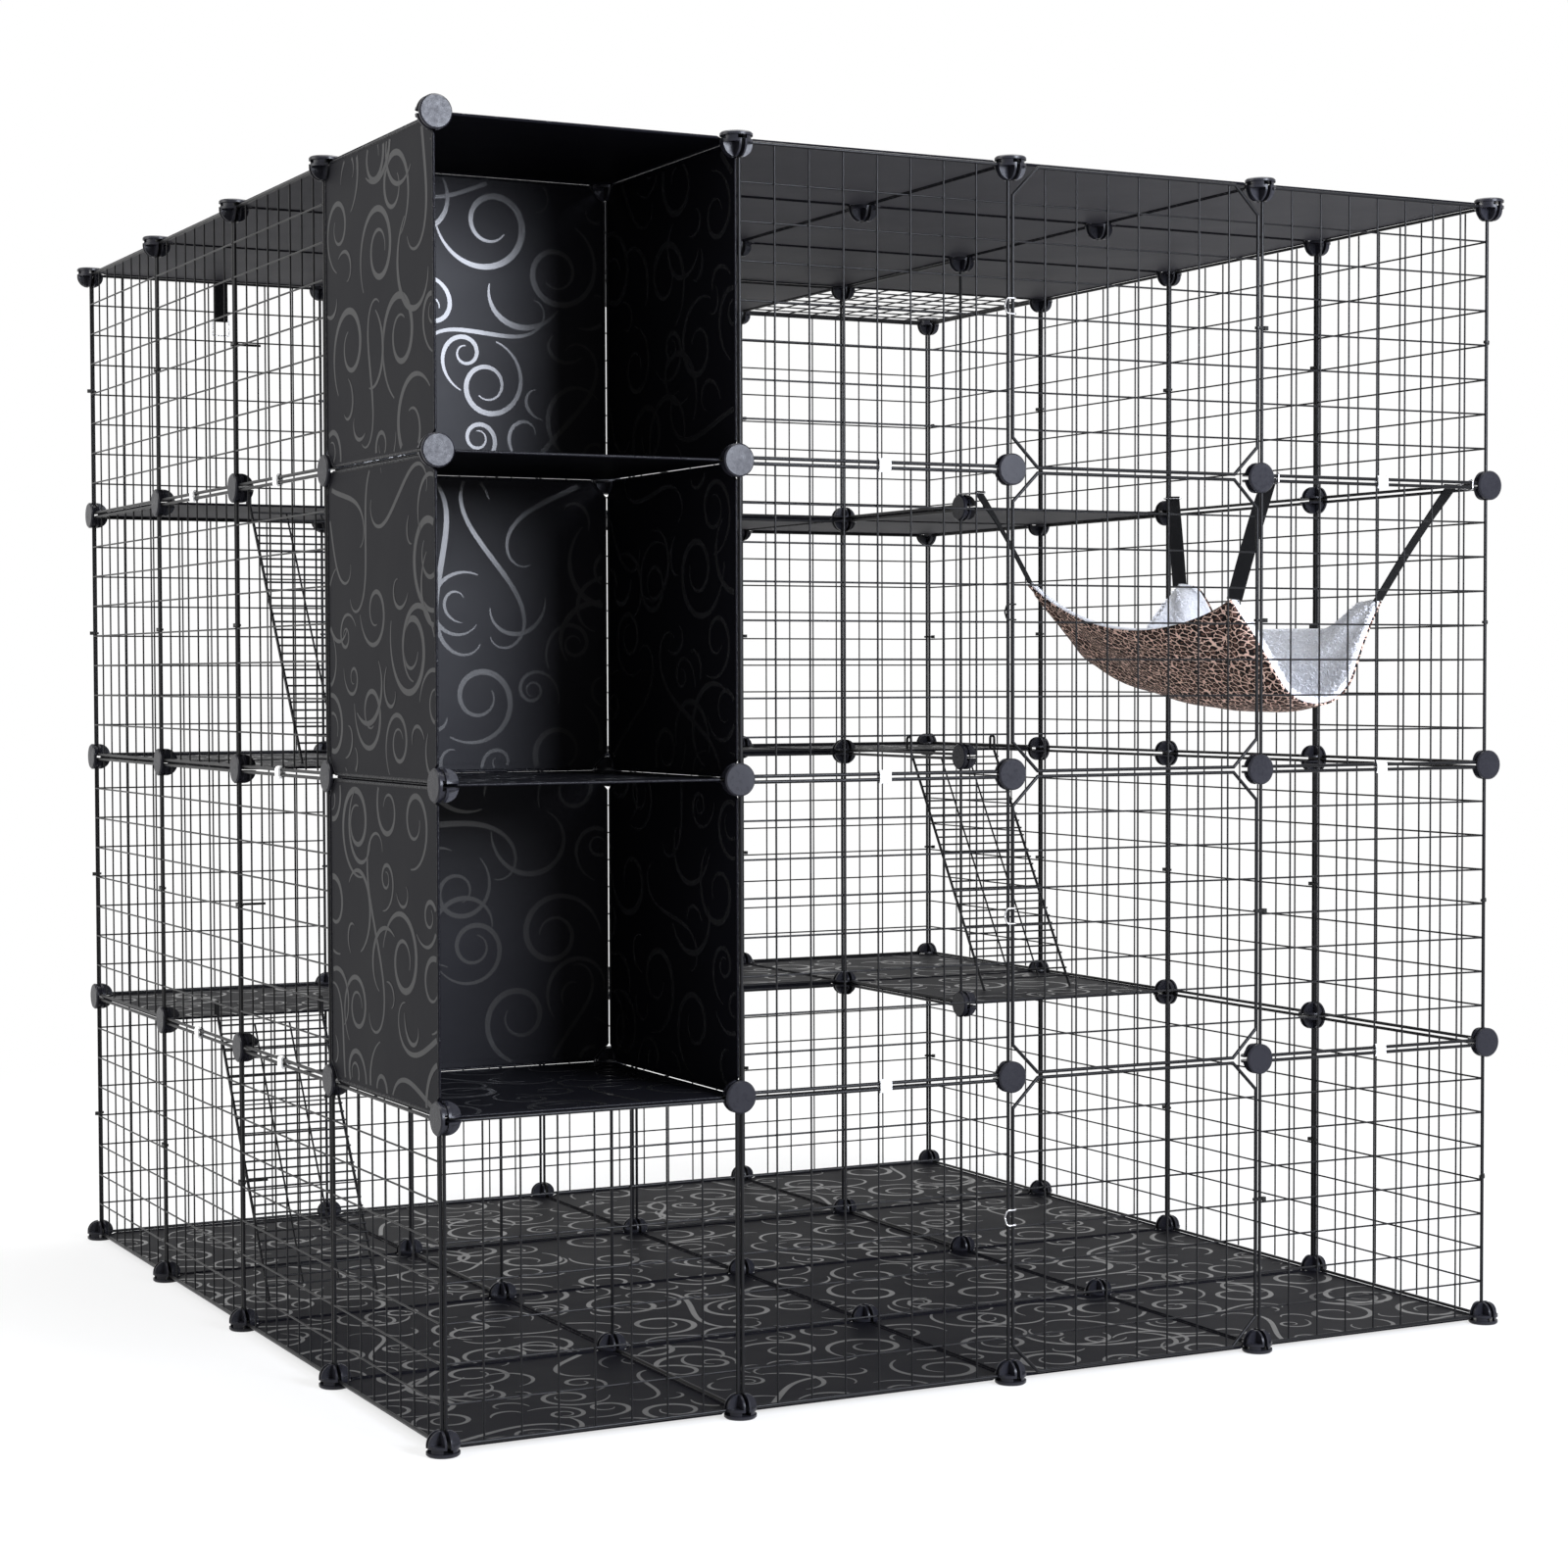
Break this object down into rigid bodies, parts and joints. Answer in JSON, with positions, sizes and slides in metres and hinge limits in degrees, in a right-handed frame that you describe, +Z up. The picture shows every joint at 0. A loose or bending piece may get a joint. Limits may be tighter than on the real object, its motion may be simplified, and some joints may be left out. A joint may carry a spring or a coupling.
{
  "type": "cat cage",
  "caption": "Cube cat cage of wire and resin panels with a tall open cabinet, corner shelves, ladders, a hammock and a hinged door on each storey.",
  "frame": {"origin": "bottom centre of the cage, on the surface that its feet stand on", "axes": "+Z up, -Y out of the front with the doors, +X to the right seen from the front"},
  "size_m": [1.453, 1.453, 1.441],
  "materials": {
    "painted_wire": "black satin paint",
    "ladder_wire": "black satin paint",
    "printed_resin": "embossed resin sheet with a curl print",
    "cabinet_resin": "embossed resin sheet with a curl print",
    "connector_plastic": "moulded, slightly glossy",
    "tie_nylon": "black nylon",
    "clip_plastic": "white moulded",
    "bright_steel": "bright zinc",
    "black_latch": "black coated wire",
    "leopard_cloth": "printed short-pile cloth",
    "plush_lining": "white plush",
    "black_webbing": "woven webbing"
  },
  "bodies": {
    "cage": {"back_connectors": "connector_plastic", "back_frames": "painted_wire", "back_left_frames": "painted_wire", "back_mesh": "painted_wire", "back_right_frames": "painted_wire", "cabinet_back_panels": "cabinet_resin", "cabinet_left_panels": "cabinet_resin", "cabinet_right_panels": "cabinet_resin", "cabinet_shelves": "cabinet_resin", "cabinet_support_frame": "painted_wire", "floor_panels": "printed_resin", "foot_connectors": "connector_plastic", "front_connectors": "connector_plastic", "front_frames": "painted_wire", "front_mesh": "painted_wire", "hammock_cover": "leopard_cloth", "hammock_hooks": "bright_steel", "hammock_lining": "plush_lining", "hammock_straps": "black_webbing", "hanging_ring": "bright_steel", "hanging_strap": "black_webbing", "hinge_ties": "tie_nylon", "inner_connectors": "connector_plastic", "left_connectors": "connector_plastic", "left_frames": "painted_wire", "left_mesh": "painted_wire", "left_wing_frames": "painted_wire", "lower_shelf": "printed_resin", "middle_shelf": "printed_resin", "panel_clips": "clip_plastic", "panel_ties": "tie_nylon", "right_connectors": "connector_plastic", "right_frames": "painted_wire", "right_mesh": "painted_wire", "right_wing_frames": "painted_wire", "roof_connectors": "connector_plastic", "roof_panels": "printed_resin", "roof_vent_frames": "painted_wire", "roof_vent_mesh": "painted_wire", "upper_shelf": "printed_resin"},
    "door_1": {"door_1_frame": "painted_wire", "door_1_mesh": "painted_wire"},
    "latch_1": {"door_1_latch": "bright_steel"},
    "door_2": {"door_2_frame": "painted_wire", "door_2_mesh": "painted_wire"},
    "latch_2": {"door_2_latch": "bright_steel"},
    "door_3": {"door_3_frame": "painted_wire", "door_3_mesh": "painted_wire"},
    "latch_3": {"door_3_latch": "black_latch"},
    "door_4": {"door_4_frame": "painted_wire", "door_4_mesh": "painted_wire"},
    "latch_4": {"door_4_latch": "bright_steel"},
    "upper_ladder": {"upper_ladder_rails": "ladder_wire", "upper_ladder_rungs": "ladder_wire"},
    "middle_ladder": {"middle_ladder_rails": "ladder_wire", "middle_ladder_rungs": "ladder_wire"},
    "lower_ladder": {"lower_ladder_rails": "ladder_wire", "lower_ladder_rungs": "ladder_wire"}
  },
  "joints": [
    {"name": "door_1_hinge", "type": "hinge", "parent": "cage", "child": "door_1", "pos_m": [0.3508, -0.708, 0.1835], "axis": [0, 0, 1], "range_deg": [0, 110]},
    {"name": "latch_1_swing", "type": "hinge", "parent": "door_1", "child": "latch_1", "pos_m": [0.0032, -0.708, 0.1835], "axis": [0, 0, 1], "range_deg": [0, 95]},
    {"name": "door_2_hinge", "type": "hinge", "parent": "cage", "child": "door_2", "pos_m": [0.3508, -0.708, 0.5375], "axis": [0, 0, 1], "range_deg": [0, 110]},
    {"name": "latch_2_swing", "type": "hinge", "parent": "door_2", "child": "latch_2", "pos_m": [0.0032, -0.708, 0.5375], "axis": [0, 0, 1], "range_deg": [0, 95]},
    {"name": "door_3_hinge", "type": "hinge", "parent": "cage", "child": "door_3", "pos_m": [0.3508, -0.708, 0.8915], "axis": [0, 0, 1], "range_deg": [0, 110]},
    {"name": "latch_3_swing", "type": "hinge", "parent": "door_3", "child": "latch_3", "pos_m": [0.0032, -0.708, 0.8915], "axis": [0, 0, 1], "range_deg": [0, 95]},
    {"name": "door_4_hinge", "type": "hinge", "parent": "cage", "child": "door_4", "pos_m": [0.3508, -0.708, 1.2455], "axis": [0, 0, 1], "range_deg": [0, 110]},
    {"name": "latch_4_swing", "type": "hinge", "parent": "door_4", "child": "latch_4", "pos_m": [0.0032, -0.708, 1.2455], "axis": [0, 0, 1], "range_deg": [0, 95]},
    {"name": "upper_ladder_lift", "type": "hinge", "parent": "cage", "child": "upper_ladder", "pos_m": [-0.506, 0.3622, 1.0702], "axis": [-1, 0, 0], "range_deg": [0, 30]},
    {"name": "middle_ladder_lift", "type": "hinge", "parent": "cage", "child": "middle_ladder", "pos_m": [0.545, 0.3622, 0.7162], "axis": [-1, 0, 0], "range_deg": [0, 30]},
    {"name": "lower_ladder_lift", "type": "hinge", "parent": "cage", "child": "lower_ladder", "pos_m": [-0.558, 0.3622, 0.3622], "axis": [-1, 0, 0], "range_deg": [0, 30]}
  ]
}
